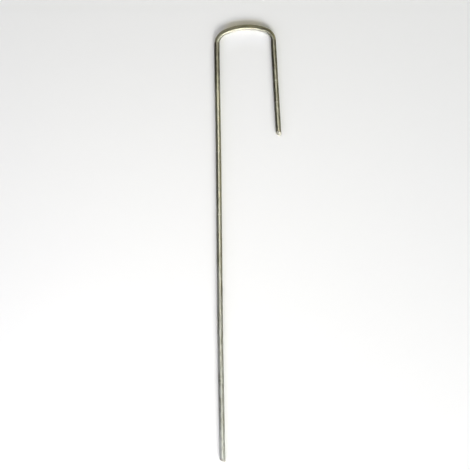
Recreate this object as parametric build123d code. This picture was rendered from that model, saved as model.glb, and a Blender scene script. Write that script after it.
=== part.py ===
from build123d import *
import os
from math import atan2, cos, degrees, hypot, radians, sin, sqrt, tan

# A tent stake made from one length of round steel wire: a long straight shank, and at its head
# a flat-topped hook that comes back down as a short leg. The hook traps a guy line or a tent's ring.
#
# Z runs up the shank and X from the shank towards the short leg, so the bent wire lies in the
# XZ plane. The origin is on the shank's axis at the ground line, where the short leg ends:
# what lies below is driven into the ground.

# Driving sizes, in millimetres and degrees. Radii of bends are taken at the wire's centreline.
wire_diameter = 3.76
stake_length = 305.0            # from the crown's top to the lowest point of the shank
hook_height = 84.7              # from the ground line to the crown's top
leg_spacing = 42.0              # between the two legs' axes, at the ground line
leg_flare = 1.5                 # lean of the short leg away from the shank, going down
crown_radius = 36.6             # the hook's broad top
crown_offset = 21.6             # from the shank's axis to the middle of the crown
shank_bend_radius = 9.8         # the tighter bend from the shank into the crown
leg_bend_radius = 10.7          # the tighter bend from the crown into the short leg
foot_cut_across = 18.0          # slope of the shank's sheared foot, across the hook's plane
foot_cut_to_back = 14.0         # slope of the same cut, from the front to the back
leg_cut_across = 22.0           # slope of the short leg's sheared end, across the hook's plane
leg_cut_to_back = 28.0          # slope of the same cut, from the front to the back
rim_round = 0.3                 # rounding of the rims that the shears leave

# Sizes and places that follow from them
wire_radius = wire_diameter / 2
cut_allowance = 2 * wire_diameter
backward = Vector(0, 1, 0)
crown_centre = Vector(crown_offset, 0, hook_height - wire_radius - crown_radius)


def direction(angle):
    """Unit vector in the XZ plane, at an angle counted from +X towards +Z."""
    return Vector(cos(radians(angle)), 0, sin(radians(angle)))


def shank_bend_centre():
    """Centre of the bend that touches the shank's axis, and the crown from inside."""
    reach = crown_radius - shank_bend_radius
    across = crown_offset - shank_bend_radius
    return Vector(shank_bend_radius, 0, crown_centre.Z + sqrt(reach**2 - across**2))


def leg_bend_centre():
    """Centre of the bend that touches the short leg's axis, and the crown from inside."""
    reach = crown_radius - leg_bend_radius
    up_leg = direction(90 + leg_flare)
    start = Vector(leg_spacing, 0, 0) - direction(leg_flare) * leg_bend_radius
    offset = start - crown_centre
    along = offset.dot(up_leg)
    rise = sqrt(along**2 - offset.dot(offset) + reach**2) - along
    return start + up_leg * rise


def angle_from_crown(point):
    """Angle of a point as seen from the crown's centre, counted from +X towards +Z."""
    offset = point - crown_centre
    return degrees(atan2(offset.Z, offset.X))


def section(point, heading):
    """The wire's round section at a point of its centreline, square to its heading."""
    return Plane(origin=point, z_dir=heading) * Circle(wire_radius)


def straight_run(start, end):
    """Straight wire between two points of the centreline."""
    run = end - start
    return extrude(section(start, run.normalized()), amount=run.length)


def bend(centre, radius, start_angle, end_angle):
    """Wire bent round a centre, from one angle down to a smaller one."""
    start = section(centre + direction(start_angle) * radius, direction(start_angle - 90))
    return revolve(start, axis=Axis(centre, backward), revolution_arc=start_angle - end_angle)


def shear(wire, end, heading, across, to_back):
    """Cut a wire's end to a slope whose furthest point is level with end, and round its rim."""
    steepness = hypot(tan(radians(across)), tan(radians(to_back)))
    middle = end - heading * (wire_radius * steepness)
    side = heading.cross(backward)
    slope = heading - side * tan(radians(across)) - backward * tan(radians(to_back))
    size = 4 * cut_allowance
    waste = Plane(origin=middle, z_dir=slope) * Pos(0, 0, size / 2) * Box(size, size, size)
    cut = wire - waste
    face = cut.faces().sort_by_distance(middle)[0]
    return fillet(face.edges(), rim_round)


def bent_wire():
    """The whole stake: shank, bend, crown, bend and short leg, with both ends sheared."""
    shank_bend_middle = shank_bend_centre()
    leg_bend_middle = leg_bend_centre()
    crown_start = angle_from_crown(shank_bend_middle)
    crown_end = angle_from_crown(leg_bend_middle)
    shank_top = Vector(0, 0, shank_bend_middle.Z)
    leg_top = leg_bend_middle + direction(leg_flare) * leg_bend_radius

    down = direction(-90)
    foot = Vector(0, 0, hook_height - stake_length)
    shank = straight_run(foot + down * cut_allowance, shank_top)
    shank = shear(shank, foot, down, foot_cut_across, foot_cut_to_back)

    down_leg = direction(leg_flare - 90)
    leg_end = Vector(leg_spacing, 0, 0)
    leg = straight_run(leg_top, leg_end + down_leg * cut_allowance)
    leg = shear(leg, leg_end, down_leg, leg_cut_across, leg_cut_to_back)

    wire = shank + bend(shank_bend_middle, shank_bend_radius, 180, crown_start)
    wire += bend(crown_centre, crown_radius, crown_start, crown_end)
    wire += bend(leg_bend_middle, leg_bend_radius, crown_end, leg_flare)
    return wire + leg


os.makedirs("parts", exist_ok=True)
export_step(bent_wire(), "parts/bent_wire.step")
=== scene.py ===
import bmesh
import bpy
import math
from mathutils import Matrix, Vector, noise


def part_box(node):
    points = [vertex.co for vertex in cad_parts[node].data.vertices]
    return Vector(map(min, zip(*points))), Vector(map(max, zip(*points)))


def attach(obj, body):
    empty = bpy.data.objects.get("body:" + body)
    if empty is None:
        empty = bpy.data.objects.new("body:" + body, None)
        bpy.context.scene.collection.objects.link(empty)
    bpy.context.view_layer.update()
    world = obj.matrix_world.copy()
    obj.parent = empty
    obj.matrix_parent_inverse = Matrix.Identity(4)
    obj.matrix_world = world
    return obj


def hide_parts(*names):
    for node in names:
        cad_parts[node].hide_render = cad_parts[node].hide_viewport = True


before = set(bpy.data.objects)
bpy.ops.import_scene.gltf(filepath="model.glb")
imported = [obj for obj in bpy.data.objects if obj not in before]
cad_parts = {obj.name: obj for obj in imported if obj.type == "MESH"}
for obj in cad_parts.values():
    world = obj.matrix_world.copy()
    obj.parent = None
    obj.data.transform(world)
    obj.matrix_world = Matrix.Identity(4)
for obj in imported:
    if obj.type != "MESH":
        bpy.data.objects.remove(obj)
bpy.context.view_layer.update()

# camera: leans in from the foot's side of the stake, a little rolled
camera = {
    "lookAt": (0.01063, 0.0, -0.07109),
    "distance": 0.6605,
    "lean": 15.0,       # degrees below square to the hook's plane
    "roll": 0.918,      # degrees
    "fieldOfView": 27.0,
}


def makeCamera():
    data = bpy.data.cameras.new("stakeCamera")
    data.lens = data.sensor_width / 2 / math.tan(math.radians(camera["fieldOfView"] / 2))
    data.clip_start = 0.01
    data.clip_end = 20
    obj = bpy.data.objects.new("stakeCamera", data)
    bpy.context.scene.collection.objects.link(obj)
    turn = Matrix.Rotation(math.radians(90 + camera["lean"]), 4, "X")
    turn = turn @ Matrix.Rotation(math.radians(-camera["roll"]), 4, "Z")
    back = turn.to_3x3() @ Vector((0, 0, camera["distance"]))
    obj.matrix_world = Matrix.Translation(Vector(camera["lookAt"]) + back) @ turn
    bpy.context.scene.camera = obj


# the wire's route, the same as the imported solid's; metres and degrees
wireRoute = {
    "stakeLength": 0.305,           # crown's top to the shank's lowest point
    "legSpacing": 0.0420,           # between the two legs' axes, at the ground line
    "legFlare": 1.5,                # lean of the short leg away from the shank
    "crownRadius": 0.0366,
    "crownOffset": 0.0216,          # shank's axis to the crown's middle
    "crownDrop": 0.0002,            # how far the crown sits below the solid's
    "shankBendRadius": 0.0098,
    "legBendRadius": 0.0107,
    "footSlopes": (18.0, 14.0),     # sheared foot: across the hook, front to back
    "legSlopes": (22.0, 28.0),      # sheared end of the short leg
}
# the wire's own surface
wireSurface = {
    "sides": 64,
    "ringSpacing": 0.0005,
    "rimRound": 0.0003,             # rounding that the shear leaves
    "capRings": 6,
    "squareAfter": 0.009,           # a slanted end straightens out over this length
    # the shank isn't quite straight: height, and how far it stands off its axis there
    "bow": ((-0.220, 0.00038), (-0.202, 0.00017), (-0.142, -0.00011), (-0.008, 0.00011), (0.060, -0.00015),
            (0.080, 0.0)),
    "shoulder": (0.3275, 0.3340, 0.3450),   # bulge of the second bend: start, most and stop along the wire
    "shoulderRise": 0.00042,
    "shoulderTurn": 25,             # degrees above level, outwards
    "lumps": 0.000014,              # zinc runs and thick spots
    "lumpSize": 0.0018,
    "lumpStretch": 0.3,             # runs are longer along the wire than round it
    "lines": 0.000004,              # lengthwise lines from the drawing die
    "lineSize": 0.00045,
    "lineStretch": 0.02,
    "wrinkles": 0.000016,           # on the inside of a tight bend
    "wrinkleLength": 0.0028,
    "wrinkledFrom": (0.2, 0.9),     # share of the radius inwards where they start and are full
    "wrinkleWander": 3.0,           # radians that they stray by
    "wanderSize": 0.002,
    "thinned": 0.000020,            # zinc drawn off the outside of a tight bend
    "thinnedFrom": (0.1, 1.0),
    "ovalBend": 0.02,               # share of the radius lost in a bend's plane
    "ovalGain": 0.3,                # share of that loss gained square to it
    "capRelief": (0.3, 1.0),        # a sheared end has none of this relief at its middle
    # where the blade rolls the rim over, and where it tears: shares of the slant, then of the radius
    "rollover": 0.00022,
    "rolledFrom": (0.1, -0.9),
    "rolledRim": (0.55, 1.0),
    "fracture": 0.00009,
    "tornFrom": (-0.35, 0.05),
    "tornRim": (0.80, 0.98),
    "tornSize": 0.0007,
    "tornStretch": 0.6,
    "seed": 7.3,
    # where the coat is dull: start and stop along the wire, easing, amount. Tools gripped it
    # below both bends, and it is handled most above the foot
    "dulled": ((0.0300, 0.1080, 0.0150, 0.34), (0.2670, 0.2740, 0.0180, 1.25), (0.2700, 0.2885, 0.0030, 1.25),
               (0.2800, 0.2826, 0.0010, 2.20), (0.3300, 0.3420, 0.0060, 0.85), (0.3420, 0.3600, 0.0040, 1.30),
               (0.3600, 0.3900, 0.0080, 0.85), (0.3900, 0.4100, 0.0060, 0.55)),
    # nicks across the wire: along, turn from the outer side towards the front, half angle, depth
    "nicks": ((0.0492, 95, 60, 0.000030), (0.0518, 70, 45, 0.000022), (0.1626, 85, 75, 0.000034),
              (0.1180, 140, 40, 0.000024), (0.2075, 60, 45, 0.000022), (0.3722, 80, 50, 0.000030),
              (0.3886, 105, 60, 0.000030)),
    "nickWidth": 0.0005,
    "nickEdge": (0.3, 1.5),         # fades out between these, in widths
    "nickEnd": 0.7,                 # and from this share of its half angle
    "wornFrom": (0.85, 0.97),       # inner side of the crown, polished by the guy line
    "wornEase": (0.002, 0.008, 0.003),  # before and after the crown's start, before the second bend's end
}


def direction(degrees):
    angle = math.radians(degrees)
    return Vector((math.cos(angle), 0, math.sin(angle)))


def turnedFrom(centre, point):
    away = point - centre
    return math.degrees(math.atan2(away.z, away.x))


def layRoute():
    low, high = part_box("bent_wire")
    radius = high.y
    flare = wireRoute["legFlare"]
    crownRadius = wireRoute["crownRadius"]
    crown = Vector((wireRoute["crownOffset"], 0, high.z - wireRoute["crownDrop"] - radius - crownRadius))

    # bend from the shank: touches the shank's axis, and the crown from inside
    bendRadius = wireRoute["shankBendRadius"]
    across = crown.x - bendRadius
    rise = math.sqrt((crownRadius - bendRadius) ** 2 - across ** 2)
    shankBend = Vector((bendRadius, 0, crown.z + rise))

    # bend into the short leg: touches the leg's axis, and the crown from inside
    bendRadius = wireRoute["legBendRadius"]
    upLeg = direction(90 + flare)
    start = Vector((wireRoute["legSpacing"], 0, 0)) - direction(flare) * bendRadius
    offset = start - crown
    along = offset.dot(upLeg)
    rise = math.sqrt(along ** 2 - offset.dot(offset) + (crownRadius - bendRadius) ** 2) - along
    legBend = start + upLeg * rise
    legTop = legBend + direction(flare) * bendRadius

    route = {"radius": radius, "crown": crown, "shankBend": shankBend, "legBend": legBend}
    route["crownStart"] = turnedFrom(crown, shankBend)
    route["crownEnd"] = turnedFrom(crown, legBend)
    route["legTop"] = legTop
    route["footSlopes"] = [math.tan(math.radians(slope)) for slope in wireRoute["footSlopes"]]
    route["legSlopes"] = [math.tan(math.radians(slope)) for slope in wireRoute["legSlopes"]]
    # middles of the two sheared ends
    foot = Vector((0, 0, high.z - wireRoute["stakeLength"] + radius * math.hypot(*route["footSlopes"])))
    legEnd = Vector((wireRoute["legSpacing"], 0, 0)) + upLeg * radius * math.hypot(*route["legSlopes"])
    route["foot"] = foot
    route["legEnd"] = legEnd

    lengths = [
        shankBend.z - foot.z,
        math.radians(180 - route["crownStart"]) * wireRoute["shankBendRadius"],
        math.radians(route["crownStart"] - route["crownEnd"]) * crownRadius,
        math.radians(route["crownEnd"] - flare) * wireRoute["legBendRadius"],
        (legEnd - legTop).length,
    ]
    route["marks"] = [sum(lengths[:count]) for count in range(6)]
    return route


def alongRoute(route, along):
    # point of the centreline after this much wire, and its heading there
    marks = route["marks"]
    if along <= marks[1]:
        return route["foot"] + Vector((0, 0, along)), Vector((0, 0, 1))
    if along >= marks[4]:
        heading = (route["legEnd"] - route["legTop"]).normalized()
        return route["legTop"] + heading * (along - marks[4]), heading
    if along < marks[2]:
        centre, size, start, mark = route["shankBend"], wireRoute["shankBendRadius"], 180, marks[1]
    elif along < marks[3]:
        centre, size, start, mark = route["crown"], wireRoute["crownRadius"], route["crownStart"], marks[2]
    else:
        centre, size, start, mark = route["legBend"], wireRoute["legBendRadius"], route["crownEnd"], marks[3]
    angle = start - math.degrees((along - mark) / size)
    return centre + direction(angle) * size, direction(angle - 90)


def smoothStep(low, high, value):
    share = min(1.0, max(0.0, (value - low) / (high - low)))
    return share * share * (3 - 2 * share)


def bowAt(height):
    steps = wireSurface["bow"]
    if height <= steps[0][0]:
        return steps[0][1]
    for (low, left), (high, right) in zip(steps, steps[1:]):
        if height < high:
            return left + (right - left) * smoothStep(low, high, height)
    return 0.0


def dulledAt(along):
    amount = 0.0
    for start, stop, ease, most in wireSurface["dulled"]:
        here = smoothStep(start - ease, start, along) * (1 - smoothStep(stop, stop + ease, along))
        amount = max(amount, most * here)
    return amount


def wornAt(route, along, outer):
    # polish on the inside of the crown and of the second bend
    start, stop = route["marks"][2], route["marks"][4]
    before, after, last = wireSurface["wornEase"]
    here = smoothStep(start - before, start + after, along) * (1 - smoothStep(stop - last, stop, along))
    return here * smoothStep(*wireSurface["wornFrom"], -outer)


def nickedAt(u, v, along):
    # share and depth of the nick here, if any
    share, depth = 0.0, 0.0
    near, far = (wireSurface["nickWidth"] * edge for edge in wireSurface["nickEdge"])
    for place, turn, reach, deep in wireSurface["nicks"]:
        if abs(along - place) > far:
            continue
        apart = abs(math.degrees(math.atan2(-v, u)) - turn)
        apart = min(apart, 360 - apart)
        here = 1 - smoothStep(near, far, abs(along - place))
        here *= 1 - smoothStep(reach * wireSurface["nickEnd"], reach, apart)
        share, depth = max(share, here), max(depth, here * deep)
    return share, depth


def straightTube(mesh, radius, length):
    # a straight length of wire, standing on its foot and closed at both ends
    bmesh.ops.create_circle(mesh, segments=wireSurface["sides"], radius=radius)
    foot = list(mesh.edges)
    grown = bmesh.ops.extrude_edge_only(mesh, edges=foot)["geom"]
    bmesh.ops.translate(mesh, verts=[part for part in grown if isinstance(part, bmesh.types.BMVert)],
                        vec=(0, 0, length))
    head = [part for part in grown if isinstance(part, bmesh.types.BMEdge)
            and all(vert.co.z > 0 for vert in part.verts)]
    closeEnd(mesh, foot, radius)
    closeEnd(mesh, head, radius)
    runs = [edge for edge in mesh.edges if edge.calc_length() > length / 2]
    cuts = round(length / wireSurface["ringSpacing"]) - 1
    bmesh.ops.subdivide_edges(mesh, edges=runs, cuts=cuts, use_grid_fill=True)


def closeEnd(mesh, rimEdges, radius):
    bmesh.ops.edgeloop_fill(mesh, edges=rimEdges)
    bmesh.ops.bevel(mesh, geom=rimEdges, offset=wireSurface["rimRound"], offset_type="OFFSET",
                    segments=4, profile=0.5, affect="EDGES", material=-1, clamp_overlap=True)
    cap = next(face for face in mesh.faces if len(face.verts) == wireSurface["sides"])
    cap.material_index = 1
    step = (radius - wireSurface["rimRound"]) / (wireSurface["capRings"] + 1)
    for count in range(wireSurface["capRings"]):
        band = bmesh.ops.inset_region(mesh, faces=[cap], thickness=step, depth=0, use_boundary=True,
                                      use_even_offset=True)["faces"]
        for face in band:
            face.material_index = 1
    for face in bmesh.ops.poke(mesh, faces=[cap])["faces"]:
        face.material_index = 1


def layered(place, size, octaves=3):
    # soft noise about zero, finer layers at half the strength, each shifted so that they don't line up
    total, strength, shift = 0.0, 1.0, Vector((13.7, 5.1, 9.2))
    for count in range(octaves):
        total += strength * noise.noise(place / size)
        size /= 2
        strength /= 2
        place = place + shift
    return total


def coatBump(spoke, along, sharp, outer):
    # height of the zinc over the bare wire: thick and thin runs, die lines, marks of bending
    surface = wireSurface
    around = Vector((spoke[0], spoke[1], 0))
    seed = Vector((surface["seed"], 0, 0))
    runs = around + Vector((0, 0, along * surface["lumpStretch"]))
    height = surface["lumps"] * layered(runs + seed, surface["lumpSize"])
    lines = around + Vector((0, 0, along * surface["lineStretch"]))
    height += surface["lines"] * layered(lines + seed * 3, surface["lineSize"], 2)
    # inside a tight bend the coat wrinkles, on its outside it is drawn thin
    inside = smoothStep(*surface["wrinkledFrom"], -outer) * sharp
    stray = surface["wrinkleWander"] * noise.noise(runs / surface["wanderSize"])
    wave = math.sin(along * math.tau / surface["wrinkleLength"] + stray)
    height += surface["wrinkles"] * inside * wave
    height -= surface["thinned"] * smoothStep(*surface["thinnedFrom"], outer) * sharp
    return height


def bendWire(mesh, route):
    # bends the straight wire round its route, slants its ends and lays the coat's lumps and lines
    surface, radius, marks = wireSurface, route["radius"], route["marks"]
    straightWire = mesh.verts.layers.float_vector.new("straightWire")
    wireWay = mesh.verts.layers.float_vector.new("wireWay")
    bendStrain = mesh.verts.layers.float.new("bendStrain")
    coatDulled = mesh.verts.layers.float.new("coatDulled")
    coatWorn = mesh.verts.layers.float.new("coatWorn")
    coatNicked = mesh.verts.layers.float.new("coatNicked")
    tightest = radius / wireRoute["shankBendRadius"]
    bends = (
        (marks[1], marks[2], 1.0),
        (marks[2], marks[3], radius / wireRoute["crownRadius"] / tightest),
        (marks[3], marks[4], radius / wireRoute["legBendRadius"] / tightest),
    )
    ends = ((marks[0], route["footSlopes"], -1), (marks[5], route["legSlopes"], 1))
    shoulderWay = direction(surface["shoulderTurn"])
    for vert in mesh.verts:
        u, v, along = -vert.co.x, vert.co.y, vert.co.z
        middle, heading = alongRoute(route, along)
        outerSide = heading.cross(Vector((0, 1, 0)))
        spoke = outerSide * u + Vector((0, v, 0))
        away = spoke.length
        outer = u / radius
        vert.co = middle + spoke
        sharp = 0.0             # 1 in the tightest bend, easing in and out over a diameter
        for start, stop, amount in bends:
            ease = smoothStep(start - radius, start + radius, along)
            ease *= 1 - smoothStep(stop - radius, stop + radius, along)
            sharp = max(sharp, amount * ease)
        vert[straightWire] = (u, v, along)
        vert[wireWay] = heading
        vert[bendStrain] = sharp * outer
        vert[coatDulled] = dulledAt(along)
        vert[coatWorn] = wornAt(route, along, outer)
        vert[coatNicked], nickDepth = nickedAt(u, v, along)

        if away > 0:
            bump = coatBump((u, v), along, sharp, outer) - nickDepth
            bump *= smoothStep(*surface["capRelief"], away / radius)
            oval = surface["ovalBend"] * sharp * (surface["ovalGain"] * v * v - u * u) / radius
            vert.co += spoke / away * (bump + oval)

        for end, slopes, towards in ends:
            inside = (end - along) * towards
            if inside <= surface["squareAfter"]:
                vert.co += heading * towards * shearedAt(u, v, inside, end, slopes, towards, radius)
        if middle.x < radius:
            vert.co.x += bowAt(middle.z)
        start, most, stop = surface["shoulder"]
        rise = smoothStep(start, most, along) * (1 - smoothStep(most, stop, along))
        vert.co += shoulderWay * surface["shoulderRise"] * rise


def shearedAt(u, v, inside, end, slopes, towards, radius):
    # how far a point near a sheared end moves along the wire
    surface = wireSurface
    away = math.hypot(u, v) / radius
    tilt = u * towards * slopes[0] + v * slopes[1]
    slope = tilt / (radius * math.hypot(*slopes))
    slant = tilt * (1 - smoothStep(0, surface["squareAfter"], inside))
    near = 1 - smoothStep(0, surface["rimRound"] * 2, inside)
    rolled = smoothStep(*surface["rolledFrom"], slope) * smoothStep(*surface["rolledRim"], away)
    torn = smoothStep(*surface["tornFrom"], slope) * (1 - smoothStep(*surface["tornRim"], away))
    rough = layered(Vector((u, v * surface["tornStretch"], end)), surface["tornSize"], 3)
    return slant + near * (surface["fracture"] * torn * rough - surface["rollover"] * rolled)


def makeStakeWire(route):
    mesh = bmesh.new()
    straightTube(mesh, route["radius"], route["marks"][5])
    bendWire(mesh, route)
    bmesh.ops.recalc_face_normals(mesh, faces=mesh.faces)
    data = bpy.data.meshes.new("stakeWire")
    mesh.to_mesh(data)
    mesh.free()
    data.shade_smooth()
    wire = bpy.data.objects.new("stakeWire", data)
    bpy.context.scene.collection.objects.link(wire)
    print("wire has", len(data.polygons), "faces")
    return wire


# helpers for the node trees
def addNode(tree, kind, inputs=None, **settings):
    made = tree.nodes.new("ShaderNode" + kind)
    for name, value in settings.items():
        setattr(made, name, value)
    for name, value in (inputs or {}).items():
        if isinstance(value, bpy.types.NodeSocket):
            tree.links.new(value, made.inputs[name])
        else:
            made.inputs[name].default_value = value
    return made


def number(tree, operation, first, second=0.0, third=0.0):
    return addNode(tree, "Math", {0: first, 1: second, 2: third}, operation=operation).outputs[0]


def product(tree, *factors):
    total = factors[0]
    for factor in factors[1:]:
        total = number(tree, "MULTIPLY", total, factor)
    return total


def vector(tree, operation, first, second=(0, 0, 0)):
    made = addNode(tree, "VectorMath", {0: first, 1: second}, operation=operation)
    return made.outputs["Value" if operation in ("LENGTH", "DOT_PRODUCT") else "Vector"]


def ramp(tree, value, low, high):
    # 0 at low, 1 at high, eased at both
    inputs = {"Value": value, "From Min": low, "From Max": high}
    return addNode(tree, "MapRange", inputs, interpolation_type="SMOOTHSTEP").outputs[0]


def attribute(tree, name, output="Fac"):
    return addNode(tree, "Attribute", attribute_name=name).outputs[output]


def blend(tree, share, first, second):
    return addNode(tree, "Mix", {0: share, 6: first, 7: second}, data_type="RGBA").outputs[2]


def newGroup(name, inputs, outputs):
    group = bpy.data.node_groups.new(name, "ShaderNodeTree")
    for label, kind in inputs:
        group.interface.new_socket(name=label, in_out="INPUT", socket_type="NodeSocket" + kind)
    for label, kind in outputs:
        group.interface.new_socket(name=label, in_out="OUTPUT", socket_type="NodeSocket" + kind)
    return group, group.nodes.new("NodeGroupInput").outputs, group.nodes.new("NodeGroupOutput").inputs


def useGroup(tree, group, inputs):
    return addNode(tree, "Group", inputs, node_tree=group).outputs


def makeStreaks():
    # soft noise drawn out along the wire; Low and High set how much of it shows
    inputs = (("Vector", "Vector"), ("Width", "Float"), ("Length", "Float"), ("Low", "Float"),
              ("High", "Float"), ("Seed", "Float"))
    group, given, wanted = newGroup("wireStreaks", inputs, (("Streaks", "Float"),))
    perWidth = number(group, "DIVIDE", 1.0, given["Width"])
    perLength = number(group, "DIVIDE", 1.0, given["Length"])
    size = addNode(group, "CombineXYZ", {0: perWidth, 1: perWidth, 2: perLength}).outputs[0]
    seed = addNode(group, "CombineXYZ", {0: given["Seed"], 1: given["Seed"]}).outputs[0]
    place = addNode(group, "VectorMath", {0: given["Vector"], 1: size, 2: seed}, operation="MULTIPLY_ADD")
    noiseInputs = {"Vector": place.outputs[0], "Scale": 1.0, "Detail": 3.0, "Roughness": 0.55}
    cloud = addNode(group, "TexNoise", noiseInputs)
    group.links.new(ramp(group, cloud.outputs[0], given["Low"], given["High"]), wanted["Streaks"])
    return group


def makeSpecks():
    # scattered round specks, 0.4 to 1.4 times Size; Share is how many of the possible places have one
    inputs = (("Vector", "Vector"), ("Spacing", "Float"), ("Size", "Float"), ("Share", "Float"))
    group, given, wanted = newGroup("fineSpecks", inputs, (("Specks", "Float"),))
    scale = number(group, "DIVIDE", 1.0, given["Spacing"])
    cells = addNode(group, "TexVoronoi", {"Vector": given["Vector"], "Scale": scale})
    chance = addNode(group, "SeparateColor", {0: cells.outputs["Color"]})
    size = product(group, given["Size"], scale, number(group, "ADD", chance.outputs[0], 0.4))
    speck = ramp(group, cells.outputs["Distance"], size, product(group, size, 0.5))
    kept = number(group, "LESS_THAN", chance.outputs[1], given["Share"])
    group.links.new(product(group, speck, kept), wanted["Specks"])
    return group


def makeTarnish():
    # lays a tint over a colour where Mask is, and dulls it
    inputs = (("Color", "Color"), ("Roughness", "Float"), ("Tint", "Color"), ("Dulling", "Float"),
              ("Mask", "Float"))
    group, given, wanted = newGroup("tarnish", inputs, (("Color", "Color"), ("Roughness", "Float")))
    group.links.new(blend(group, given["Mask"], given["Color"], given["Tint"]), wanted["Color"])
    rough = number(group, "MULTIPLY_ADD", given["Mask"], given["Dulling"], given["Roughness"])
    group.links.new(rough, wanted["Roughness"])
    return group


def layTarnish(tree, tarnish, surface, tint, dulling, mask):
    inputs = {"Color": surface["Color"], "Roughness": surface["Roughness"], "Tint": (*tint, 1),
              "Dulling": dulling, "Mask": mask}
    return useGroup(tree, tarnish, inputs)


def pattern(tree, streaks, place, values):
    width, length, low, high, seed = values
    inputs = {"Vector": place, "Width": width, "Length": length, "Low": low, "High": high, "Seed": seed}
    return useGroup(tree, streaks, inputs)["Streaks"]


def scattered(tree, specks, place, values):
    spacing, size, share = values
    inputs = {"Vector": place, "Spacing": spacing, "Size": size, "Share": share}
    return useGroup(tree, specks, inputs)["Specks"]


# zinc coat: lengths in metres, heights for bump in metres, shares from 0 to 1. A pattern is the
# width and length of its spots, the noise at which they start and are full, and a seed
zincCoat = {
    "cool": (0.274, 0.286, 0.278),
    "warm": (0.328, 0.306, 0.226),
    "warmFrom": (0.03, 0.17),             # warmer above the ground line
    "warmByHeight": 0.45,
    "warmByCloud": 0.55,
    "cloudPattern": (0.010, 0.036, 0.36, 0.64, 3.0),    # slow drift from cool to warm
    "roughness": 0.52,
    "footDulling": 0.08,
    "anisotropic": 1.0,
    "spangle": (0.205, 0.205, 0.190),     # duller crystals in the coat
    "spanglePattern": (0.0016, 0.0052, 0.44, 0.60, 11.0),
    "spangleShare": 0.62,
    "flecks": (0.400, 0.402, 0.372),      # small bright crystals
    "fleckPattern": (0.0011, 0.0021, 0.54, 0.61, 83.0),
    "fleckShare": 0.38,
    "dieLines": (0.150, 0.150, 0.140),    # lengthwise lines from drawing the wire
    "diePattern": (0.00016, 0.022, 0.49, 0.59, 23.0),
    "dieShare": 0.46,
    "seams": (0.175, 0.172, 0.155),       # broader, longer streaks
    "seamPattern": (0.00075, 0.060, 0.50, 0.66, 31.0),
    "seamShare": 0.45,
    "bloom": (0.430, 0.445, 0.430),       # pale dull oxide, most at the foot
    "bloomPattern": (0.0030, 0.0110, 0.30, 0.62, 47.0),
    "bloomFrom": (0.215, 0.01),           # thickens from the first to the second, up from the foot
    "bloomLeast": 0.12,                   # above those
    "bloomClosed": (0.045, 0.010),        # and closes over between these
    "closedShare": 0.95,
    "closedOnSpangle": 0.35,              # this much less on the dull crystals
    "bloomShare": 0.85,
    "bloomMatt": 0.75,                    # how much of the metal's mirror the oxide hides
    "pits": (0.045, 0.040, 0.032),
    "pitPlaces": (0.0017, 0.00016, 0.35), # spacing, size, share of the places that have one
    "scuffs": (0.520, 0.515, 0.490),      # short bright marks across the wire
    "scuffPattern": (0.0019, 0.00016, 0.64, 0.72, 59.0),
    "scuffSlant": 0.22,
    "scuffShare": 0.45,
    "nickShare": 0.32,                    # how bright the nicks are beside the scuffs
    "drawnThin": (0.540, 0.515, 0.440),   # outside of the bends, where the coat stretched
    "drawnFrom": (0.22, 0.66),
    "drawnShare": 0.55,
    "crackPattern": (0.0019, 0.00016, 0.50, 0.60, 71.0),
    "squeezed": (0.240, 0.240, 0.225),    # inside of the bends
    "squeezedFrom": (-0.25, -0.95),
    "squeezedShare": 0.2,
    "rubbed": (0.118, 0.114, 0.098),      # where tools and hands dulled the coat
    "rubbedOver": (-1.2, 1.0),            # somewhat more on the dull crystals
    "polished": (0.700, 0.690, 0.655),    # where the guy line ran
    "rust": (0.175, 0.120, 0.080),
    "rustReach": 0.0012,                  # from each sheared end
    "rustLeast": 0.25,                    # off the dull crystals
    "rustShare": 0.5,
    "dieHeight": 0.0000016,
    "spangleHeight": 0.000006,
    "fleckHeight": 0.000003,
    "pitDepth": 0.000020,
    "scuffDepth": 0.0000030,
    "crackDepth": 0.0000035,
}


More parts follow.
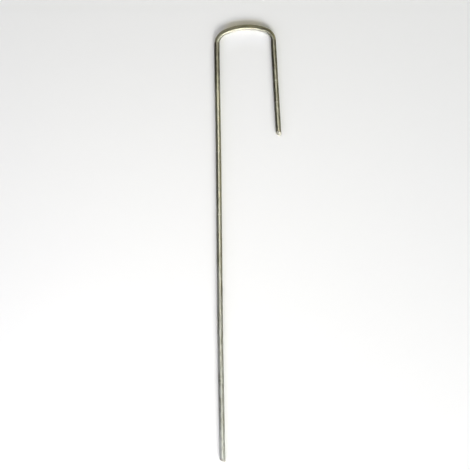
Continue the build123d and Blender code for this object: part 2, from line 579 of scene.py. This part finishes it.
def zincMaterial(streaks, specks, tarnish, wireLength):
    coat = zincCoat
    material = bpy.data.materials.new("zincCoat")
    material.use_nodes = True
    tree = material.node_tree
    shader = tree.nodes["Principled BSDF"]
    place = attribute(tree, "straightWire", "Vector")
    along = addNode(tree, "SeparateXYZ", {0: place}).outputs[2]
    strain = attribute(tree, "bendStrain")
    rubbed = attribute(tree, "coatDulled")
    worn = attribute(tree, "coatWorn")
    nicked = attribute(tree, "coatNicked")
    slanted = vector(tree, "DOT_PRODUCT", place, (0, coat["scuffSlant"], 1))
    slanted = addNode(tree, "CombineXYZ", {2: slanted}).outputs[0]
    slanted = vector(tree, "ADD", vector(tree, "MULTIPLY", place, (1, 1, 0)), slanted)

    def patch(name, where=place):
        return pattern(tree, streaks, where, coat[name + "Pattern"])

    warm = number(tree, "MULTIPLY_ADD", ramp(tree, along, *coat["warmFrom"]), coat["warmByHeight"],
                  product(tree, patch("cloud"), coat["warmByCloud"]))
    spangle = patch("spangle")
    flecks = patch("fleck")
    dieLines = patch("die")
    seams = patch("seam")
    nearFoot = ramp(tree, along, *coat["bloomFrom"])
    spread = number(tree, "MULTIPLY_ADD", nearFoot, 1 - coat["bloomLeast"], coat["bloomLeast"])
    closed = number(tree, "MULTIPLY_ADD", spangle, -coat["closedOnSpangle"], coat["closedShare"])
    closed = product(tree, ramp(tree, along, *coat["bloomClosed"]), closed)
    bloom = number(tree, "MAXIMUM", product(tree, patch("bloom"), spread), closed)
    scuffs = product(tree, patch("scuff", slanted), coat["scuffShare"])
    scuffs = number(tree, "MAXIMUM", scuffs, product(tree, nicked, coat["nickShare"]))
    pits = scattered(tree, specks, place, coat["pitPlaces"])
    stretched = ramp(tree, strain, *coat["drawnFrom"])
    squeezed = ramp(tree, strain, *coat["squeezedFrom"])
    cracks = product(tree, patch("crack"), stretched)
    fromFoot = ramp(tree, along, coat["rustReach"], 0.0)
    fromLeg = ramp(tree, along, wireLength - coat["rustReach"], wireLength)
    rusty = number(tree, "ADD", spangle, coat["rustLeast"])
    rusty = product(tree, number(tree, "ADD", fromFoot, fromLeg), rusty)

    # colour and roughness, from the cleanest zinc up: tint, how much rougher it is, and where
    surface = {"Color": blend(tree, warm, (*coat["cool"], 1), (*coat["warm"], 1)),
               "Roughness": number(tree, "MULTIPLY_ADD", nearFoot, coat["footDulling"], coat["roughness"])}
    layers = (
        ("spangle", 0.03, product(tree, spangle, coat["spangleShare"])),
        ("flecks", -0.03, product(tree, flecks, coat["fleckShare"])),
        ("seams", 0.03, product(tree, seams, coat["seamShare"])),
        ("dieLines", 0.02, product(tree, dieLines, coat["dieShare"])),
        ("bloom", 0.10, product(tree, bloom, coat["bloomShare"])),
        ("squeezed", 0.03, product(tree, squeezed, coat["squeezedShare"])),
        ("rubbed", 0.05, product(tree, rubbed, ramp(tree, spangle, *coat["rubbedOver"]))),
        ("drawnThin", 0.04, product(tree, stretched, coat["drawnShare"])),
        ("polished", -0.06, worn),
        ("scuffs", -0.05, scuffs),
        ("pits", 0.15, pits),
        ("rust", 0.15, product(tree, rusty, coat["rustShare"])),
    )
    for name, dulling, mask in layers:
        surface = layTarnish(tree, tarnish, surface, coat[name], dulling, mask)

    # relief, in metres
    height = number(tree, "MULTIPLY", dieLines, -coat["dieHeight"])
    height = number(tree, "MULTIPLY_ADD", spangle, -coat["spangleHeight"], height)
    height = number(tree, "MULTIPLY_ADD", flecks, coat["fleckHeight"], height)
    height = number(tree, "MULTIPLY_ADD", pits, -coat["pitDepth"], height)
    height = number(tree, "MULTIPLY_ADD", scuffs, -coat["scuffDepth"], height)
    height = number(tree, "MULTIPLY_ADD", cracks, -coat["crackDepth"], height)
    bump = addNode(tree, "Bump", {"Strength": 1.0, "Distance": 1.0, "Height": height})

    metallic = number(tree, "MULTIPLY_ADD", bloom, -coat["bloomMatt"], 1.0)
    shader.inputs["Anisotropic"].default_value = coat["anisotropic"]
    for name, value in (("Base Color", surface["Color"]), ("Roughness", surface["Roughness"]),
                        ("Metallic", metallic), ("Normal", bump.outputs[0]),
                        ("Tangent", attribute(tree, "wireWay", "Vector"))):
        tree.links.new(value, shader.inputs[name])
    return material


# the two sheared ends, where bare steel shows
shearedSteel = {
    "burnished": (0.30, 0.297, 0.283),    # where the blade slid
    "torn": (0.31, 0.304, 0.288),         # where the wire broke off
    "tornFrom": (-0.1, 0.2),              # shares of the radius, across the end
    "tornRagged": 0.3,                    # and how far the border strays
    "bladeTurn": 38,                      # degrees
    "roughness": 0.42,
    "tornRoughness": 0.20,                # added to the first
    "lines": (0.14, 0.136, 0.125),        # that the blade left
    "linePattern": (0.00007, 0.0016, 0.42, 0.62, 5.0),
    "lineShare": 0.6,
    "lineOnTorn": 0.4,                    # this much less where it is torn
    "grains": (0.12, 0.116, 0.108),
    "grainPattern": (0.00030, 0.00030, 0.40, 0.60, 17.0),
    "grainShare": 0.7,
    "rust": (0.15, 0.090, 0.050),
    "rustPlaces": (0.00055, 0.00011, 0.30),
    "rustShare": 0.75,
    "smearedZinc": (0.42, 0.425, 0.415),  # dragged in from the rim
    "smearWidth": 0.0005,
    "smearEdge": (1.6, 0.6),              # widths in from the rim where it starts and is full
    "smearRagged": 0.6,
    "smearShare": 0.8,
    "lineDepth": 0.0000020,
    "grainDepth": 0.000018,
}


def shearedMaterial(streaks, specks, tarnish, radius):
    end = shearedSteel
    material = bpy.data.materials.new("shearedSteel")
    material.use_nodes = True
    tree = material.node_tree
    shader = tree.nodes["Principled BSDF"]
    place = attribute(tree, "straightWire", "Vector")
    flat = vector(tree, "MULTIPLY", place, (1, 1, 0))
    turn = (math.radians(90), math.radians(end["bladeTurn"]), 0)
    turned = addNode(tree, "Mapping", {"Vector": flat, "Rotation": turn}).outputs[0]
    lines = pattern(tree, streaks, turned, end["linePattern"])
    grains = pattern(tree, streaks, turned, end["grainPattern"])
    across = addNode(tree, "SeparateXYZ", {0: turned}).outputs[2]
    wavy = number(tree, "MULTIPLY_ADD", grains, radius * end["tornRagged"], across)
    torn = ramp(tree, wavy, *(radius * edge for edge in end["tornFrom"]))
    smear = end["smearWidth"]
    ragged = number(tree, "MULTIPLY_ADD", grains, -smear * end["smearRagged"], vector(tree, "LENGTH", flat))
    rim = ramp(tree, ragged, *(radius - smear * edge for edge in end["smearEdge"]))
    rusty = scattered(tree, specks, place, end["rustPlaces"])
    shown = number(tree, "MULTIPLY_ADD", torn, -end["lineOnTorn"], end["lineShare"])

    # as on the zinc: tint, how much rougher it is, and where
    surface = {"Color": blend(tree, torn, (*end["burnished"], 1), (*end["torn"], 1)),
               "Roughness": number(tree, "MULTIPLY_ADD", torn, end["tornRoughness"], end["roughness"])}
    layers = (
        ("lines", 0.04, product(tree, lines, shown)),
        ("grains", 0.06, product(tree, grains, product(tree, torn, end["grainShare"]))),
        ("smearedZinc", 0.05, product(tree, rim, end["smearShare"])),
        ("rust", 0.20, product(tree, rusty, end["rustShare"])),
    )
    for name, dulling, mask in layers:
        surface = layTarnish(tree, tarnish, surface, end[name], dulling, mask)
    height = number(tree, "MULTIPLY", lines, -end["lineDepth"])
    height = number(tree, "MULTIPLY_ADD", product(tree, grains, torn), -end["grainDepth"], height)
    bump = addNode(tree, "Bump", {"Strength": 1.0, "Distance": 1.0, "Height": height})

    shader.inputs["Metallic"].default_value = 1.0
    for name, value in (("Base Color", surface["Color"]), ("Roughness", surface["Roughness"]),
                        ("Normal", bump.outputs[0])):
        tree.links.new(value, shader.inputs[name])
    return material


# the card that the stake lies on, and a floor under its foot for the other views
stage = {
    "cardSize": (1.4, 1.2),
    "cardMiddle": (0.02, -0.07),
    "cardColor": (0.90, 0.90, 0.90),
    "cardGloss": 0.5,
    "cardRoughness": 0.35,
    "cardGap": 0.00004,
    # painted light: a paler patch of the card under the crown, standing for light that the wire throws back
    "paintedThrownLight": (0.975, 0.977, 1.0),
    "thrownReach": (0.0005, 0.0160),    # full and gone, inwards from the wire's inside
    "thrownRim": (0.002, -0.001),       # gone and full, outwards from there, under the wire
    "thrownSide": (0.003, 0.009),       # gone and full, inwards from the shank's axis
    "thrownLegSide": (0.003, 0.011),    # and from the short leg's
    "thrownLow": (0.012, 0.020),        # gone and full, above the crown's middle
    # painted light: a tan tint on the card over the crown, in the crown's shadow, standing for light that the
    # metal throws there
    "paintedWarmLight": (0.935, 0.890, 0.750),
    "warmReach": (0.0042, 0.0092),      # full and gone, outwards from the crown's line
    "warmRim": (0.0060, 0.0040),        # gone and full, inwards from where it is full
    "warmSide": (0.002, 0.011),         # gone and full, from the shank's axis
    "warmLegSide": (0.038, 0.028),
    "warmLow": (0.028, 0.036),          # above the crown's middle
    "floorSize": 16.0,
    "floorDrop": 0.024,                 # under the foot, just below the camera
    "floorColor": (0.28, 0.28, 0.28),
    "floorGlow": 0.64,                  # keeps the floor pale, though the lamps stand low
}


def stageMaterial(name, color, gloss=0.0):
    material = bpy.data.materials.new(name)
    material.use_nodes = True
    tree = material.node_tree
    shader = tree.nodes["Principled BSDF"]
    shader.name = "surface"
    shader.inputs["Base Color"].default_value = (*color, 1)
    shader.inputs["Roughness"].default_value = stage["cardRoughness"] if gloss else 1.0
    shader.inputs["Specular IOR Level"].default_value = gloss
    # clear from behind, so that the stake shows from every side, and then clear for its reflections
    back = addNode(tree, "NewGeometry").outputs["Backfacing"]
    path = addNode(tree, "LightPath").outputs
    passed = number(tree, "GREATER_THAN", path["Transparent Depth"], 0.5)
    passed = product(tree, passed, number(tree, "SUBTRACT", 1.0, path["Is Camera Ray"]))
    clear = addNode(tree, "BsdfTransparent").outputs[0]
    either = number(tree, "MAXIMUM", back, passed)
    mix = addNode(tree, "MixShader", {0: either, 1: shader.outputs[0], 2: clear})
    tree.links.new(mix.outputs[0], tree.nodes["Material Output"].inputs["Surface"])
    return material


def stageObject(name, mesh, material):
    data = bpy.data.meshes.new(name)
    mesh.to_mesh(data)
    mesh.free()
    data.materials.append(material)
    obj = bpy.data.objects.new(name, data)
    bpy.context.scene.collection.objects.link(obj)
    return obj


def panel(name, centre, size, turn, material):
    mesh = bmesh.new()
    bmesh.ops.create_grid(mesh, x_segments=1, y_segments=1, size=0.5)
    bmesh.ops.scale(mesh, verts=mesh.verts, vec=(size[0], size[1], 1))
    bmesh.ops.transform(mesh, verts=mesh.verts, matrix=Matrix.Translation(centre) @ turn)
    return stageObject(name, mesh, material)


def cardMaterial(route):
    material = stageMaterial("paleCard", stage["cardColor"], stage["cardGloss"])
    tree = material.node_tree
    place = addNode(tree, "TexCoord").outputs["Object"]
    x, y, z = addNode(tree, "SeparateXYZ", {0: place}).outputs
    away = vector(tree, "SUBTRACT", place, route["crown"])
    reach = vector(tree, "LENGTH", vector(tree, "MULTIPLY", away, (1, 0, 1)))
    crown, radius = route["crown"].z, wireRoute["crownRadius"]
    inside = radius - route["radius"]
    full = radius + stage["warmReach"][0]
    # painted light under the crown: the card's colour is paler where the wire would throw light back
    mask = product(
        tree,
        ramp(tree, reach, *(inside - gap for gap in reversed(stage["thrownReach"]))),
        ramp(tree, reach, *(inside + gap for gap in stage["thrownRim"])),
        ramp(tree, x, *stage["thrownSide"]),
        ramp(tree, x, *(wireRoute["legSpacing"] - gap for gap in stage["thrownLegSide"])),
        ramp(tree, z, *(crown + rise for rise in stage["thrownLow"])),
    )
    color = blend(tree, mask, (*stage["cardColor"], 1), (*stage["paintedThrownLight"], 1))
    # painted light over the crown: a tan tint laid into the crown's shadow, for light that the metal throws
    # there
    mask = product(
        tree,
        ramp(tree, reach, *(radius + gap for gap in reversed(stage["warmReach"]))),
        ramp(tree, reach, *(full - gap for gap in stage["warmRim"])),
        ramp(tree, z, *(crown + rise for rise in stage["warmLow"])),
        ramp(tree, x, *stage["warmSide"]),
        ramp(tree, x, *stage["warmLegSide"]),
    )
    color = blend(tree, mask, color, (*stage["paintedWarmLight"], 1))
    tree.links.new(color, tree.nodes["surface"].inputs["Base Color"])
    return material


def makeStage(route):
    low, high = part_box("bent_wire")
    x, z = stage["cardMiddle"]
    upright = Matrix.Rotation(math.radians(90), 4, "X")
    card = panel("backCard", Vector((x, high.y + stage["cardGap"], z)), stage["cardSize"], upright,
                 cardMaterial(route))
    card.visible_shadow = False
    paleFloor = stageMaterial("paleFloor", stage["floorColor"])
    surface = paleFloor.node_tree.nodes["surface"]
    surface.inputs["Emission Color"].default_value = (1, 1, 1, 1)
    surface.inputs["Emission Strength"].default_value = stage["floorGlow"]
    size = stage["floorSize"]
    foot = Vector((0, 0, low.z - stage["floorDrop"]))
    floor = panel("floor", foot, (size, size), Matrix.Identity(4), paleFloor)
    floor.visible_shadow = False
    floor.visible_glossy = False
    floor.visible_diffuse = False


# what the metal mirrors: soft bright areas on the walls of a dark room. Turn is in degrees from
# straight ahead of the hook, to the right; height is the sine of the rise
room = {
    "radius": 2.4,
    "turnEdge": 7.0,
    "heightEdge": 0.06,
}
roomAreas = (
    ("upperStrip", (-22, 12), (0.00, 0.42), (3.80, 3.65, 3.10)),
    ("middleStrip", (-22, 12), (-0.50, 0.00), (1.90, 1.65, 1.00)),
    ("sill", (-20, 125), (-1.10, -0.91), (47.0, 46.5, 38.5)),
    ("rightWall", (62, 112), (-0.50, 0.50), (1.60, 1.42, 0.40)),
    ("backRight", (128, 190), (-0.40, 0.48), (3.4, 3.3, 3.05)),
    ("backLeft", (-190, -140), (-0.40, 0.48), (3.4, 3.3, 3.05)),
    ("ceiling", (-190, 190), (0.62, 1.10), (1.40, 1.32, 0.80)),
)


def roomMaterial():
    material = bpy.data.materials.new("roomWalls")
    material.use_nodes = True
    tree = material.node_tree
    tree.nodes.remove(tree.nodes["Principled BSDF"])
    place = addNode(tree, "TexCoord").outputs["Object"]
    way = vector(tree, "NORMALIZE", place)
    x, y, z = addNode(tree, "SeparateXYZ", {0: way}).outputs
    turn = number(tree, "DEGREES", number(tree, "ARCTAN2", x, product(tree, y, -1.0)))

    def between(value, limits, edge):
        rise = ramp(tree, value, limits[0] - edge, limits[0] + edge)
        fall = ramp(tree, value, limits[1] + edge, limits[1] - edge)
        return product(tree, rise, fall)

    total = None
    for name, turns, heights, light in roomAreas:
        mask = product(tree, between(turn, turns, room["turnEdge"]), between(z, heights, room["heightEdge"]))
        area = addNode(tree, "VectorMath", {0: light, "Scale": mask}, operation="SCALE").outputs[0]
        if total:
            area = vector(tree, "ADD", total, area)
        total = area
    glow = addNode(tree, "Emission", {"Color": total, "Strength": 1.0})
    tree.links.new(glow.outputs[0], tree.nodes["Material Output"].inputs["Surface"])
    return material


def makeRoom():
    mesh = bmesh.new()
    bmesh.ops.create_uvsphere(mesh, u_segments=48, v_segments=24, radius=room["radius"])
    walls = stageObject("roomWalls", mesh, roomMaterial())
    walls.data.shade_smooth()
    walls.visible_camera = False
    walls.visible_diffuse = False
    walls.visible_shadow = False
    walls.visible_transmission = False
    walls.visible_volume_scatter = False


lights = {
    "aim": (0.02, 0.0, -0.07),              # each lamp stands away from here
    "windowFrom": (0.245, -0.479, -0.828),
    "windowDistance": 1.854,
    "windowSize": (1.08, 0.76),
    "windowPower": 51.4,
    "windowColor": (0.972, 0.981, 0.953),
    "fillFrom": (-0.55, -0.45, -0.70),
    "fillDistance": 1.1,
    "fillSize": (0.8, 0.8),
    "fillPower": 4.5,
    "fillColor": (0.83, 0.80, 1.0),
    "footFrom": (-0.10, -0.09, -0.17),      # small lamp that lightens the foot's shaded side
    "footSize": (0.10, 0.10),
    "footPower": 0.030,
    "footColor": (0.92, 0.92, 1.0),
    "backFrom": (0.10, 1.0, 0.42),          # for the views from behind, where the card hides the room
    "backDistance": 1.6,
    "backSize": (1.2, 1.2),
    "backPower": 14.0,
    "backColor": (1.0, 0.985, 0.96),
    "ambient": 0.296,
    "ambientColor": (0.973, 0.985, 0.97),
    "background": 0.90,
}


def areaLamp(name, turn, distance, away, size, power, color):
    data = bpy.data.lights.new(name, "AREA")
    data.shape = "RECTANGLE"
    data.size, data.size_y = size
    data.energy = power
    data.color = color
    obj = bpy.data.objects.new(name, data)
    obj.matrix_world = Matrix.Translation(Vector(lights["aim"]) + away * distance) @ turn
    bpy.context.scene.collection.objects.link(obj)
    return obj


def makeLights():
    # the window is a level pane, facing up the stake
    away = Vector(lights["windowFrom"]).normalized()
    areaLamp("windowLamp", Matrix.Rotation(math.pi, 4, "X"), lights["windowDistance"], away,
             lights["windowSize"], lights["windowPower"], lights["windowColor"])
    for name in ("fill", "foot", "back"):
        away = Vector(lights[name + "From"])
        distance = lights.get(name + "Distance", away.length)
        away.normalize()
        lamp = areaLamp(name + "Lamp", away.to_track_quat("Z", "Y").to_matrix().to_4x4(), distance, away,
                        lights[name + "Size"], lights[name + "Power"], lights[name + "Color"])
        lamp.visible_glossy = name == "back"

    world = bpy.data.worlds.new("studio")
    bpy.context.scene.world = world
    world.use_nodes = True
    tree = world.node_tree
    light = tree.nodes["Background"]
    light.inputs["Color"].default_value = (*lights["ambientColor"], 1)
    light.inputs["Strength"].default_value = lights["ambient"]
    seen = addNode(tree, "Background", {"Color": (1, 1, 1, 1), "Strength": lights["background"]})
    path = addNode(tree, "LightPath").outputs
    either = number(tree, "MAXIMUM", path["Is Camera Ray"], path["Is Glossy Ray"])
    mix = addNode(tree, "MixShader", {0: either, 1: light.outputs[0], 2: seen.outputs[0]})
    tree.links.new(mix.outputs[0], tree.nodes["World Output"].inputs["Surface"])


makeCamera()
route = layRoute()
stakeWire = makeStakeWire(route)
streaks, specks, tarnish = makeStreaks(), makeSpecks(), makeTarnish()
stakeWire.data.materials.append(zincMaterial(streaks, specks, tarnish, route["marks"][5]))
stakeWire.data.materials.append(shearedMaterial(streaks, specks, tarnish, route["radius"]))
print("zinc coat and sheared steel laid")
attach(stakeWire, "root")
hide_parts("bent_wire")
makeStage(route)
makeRoom()
makeLights()
bpy.context.scene.view_settings.view_transform = "Standard"
print("card, room and lamps in place")
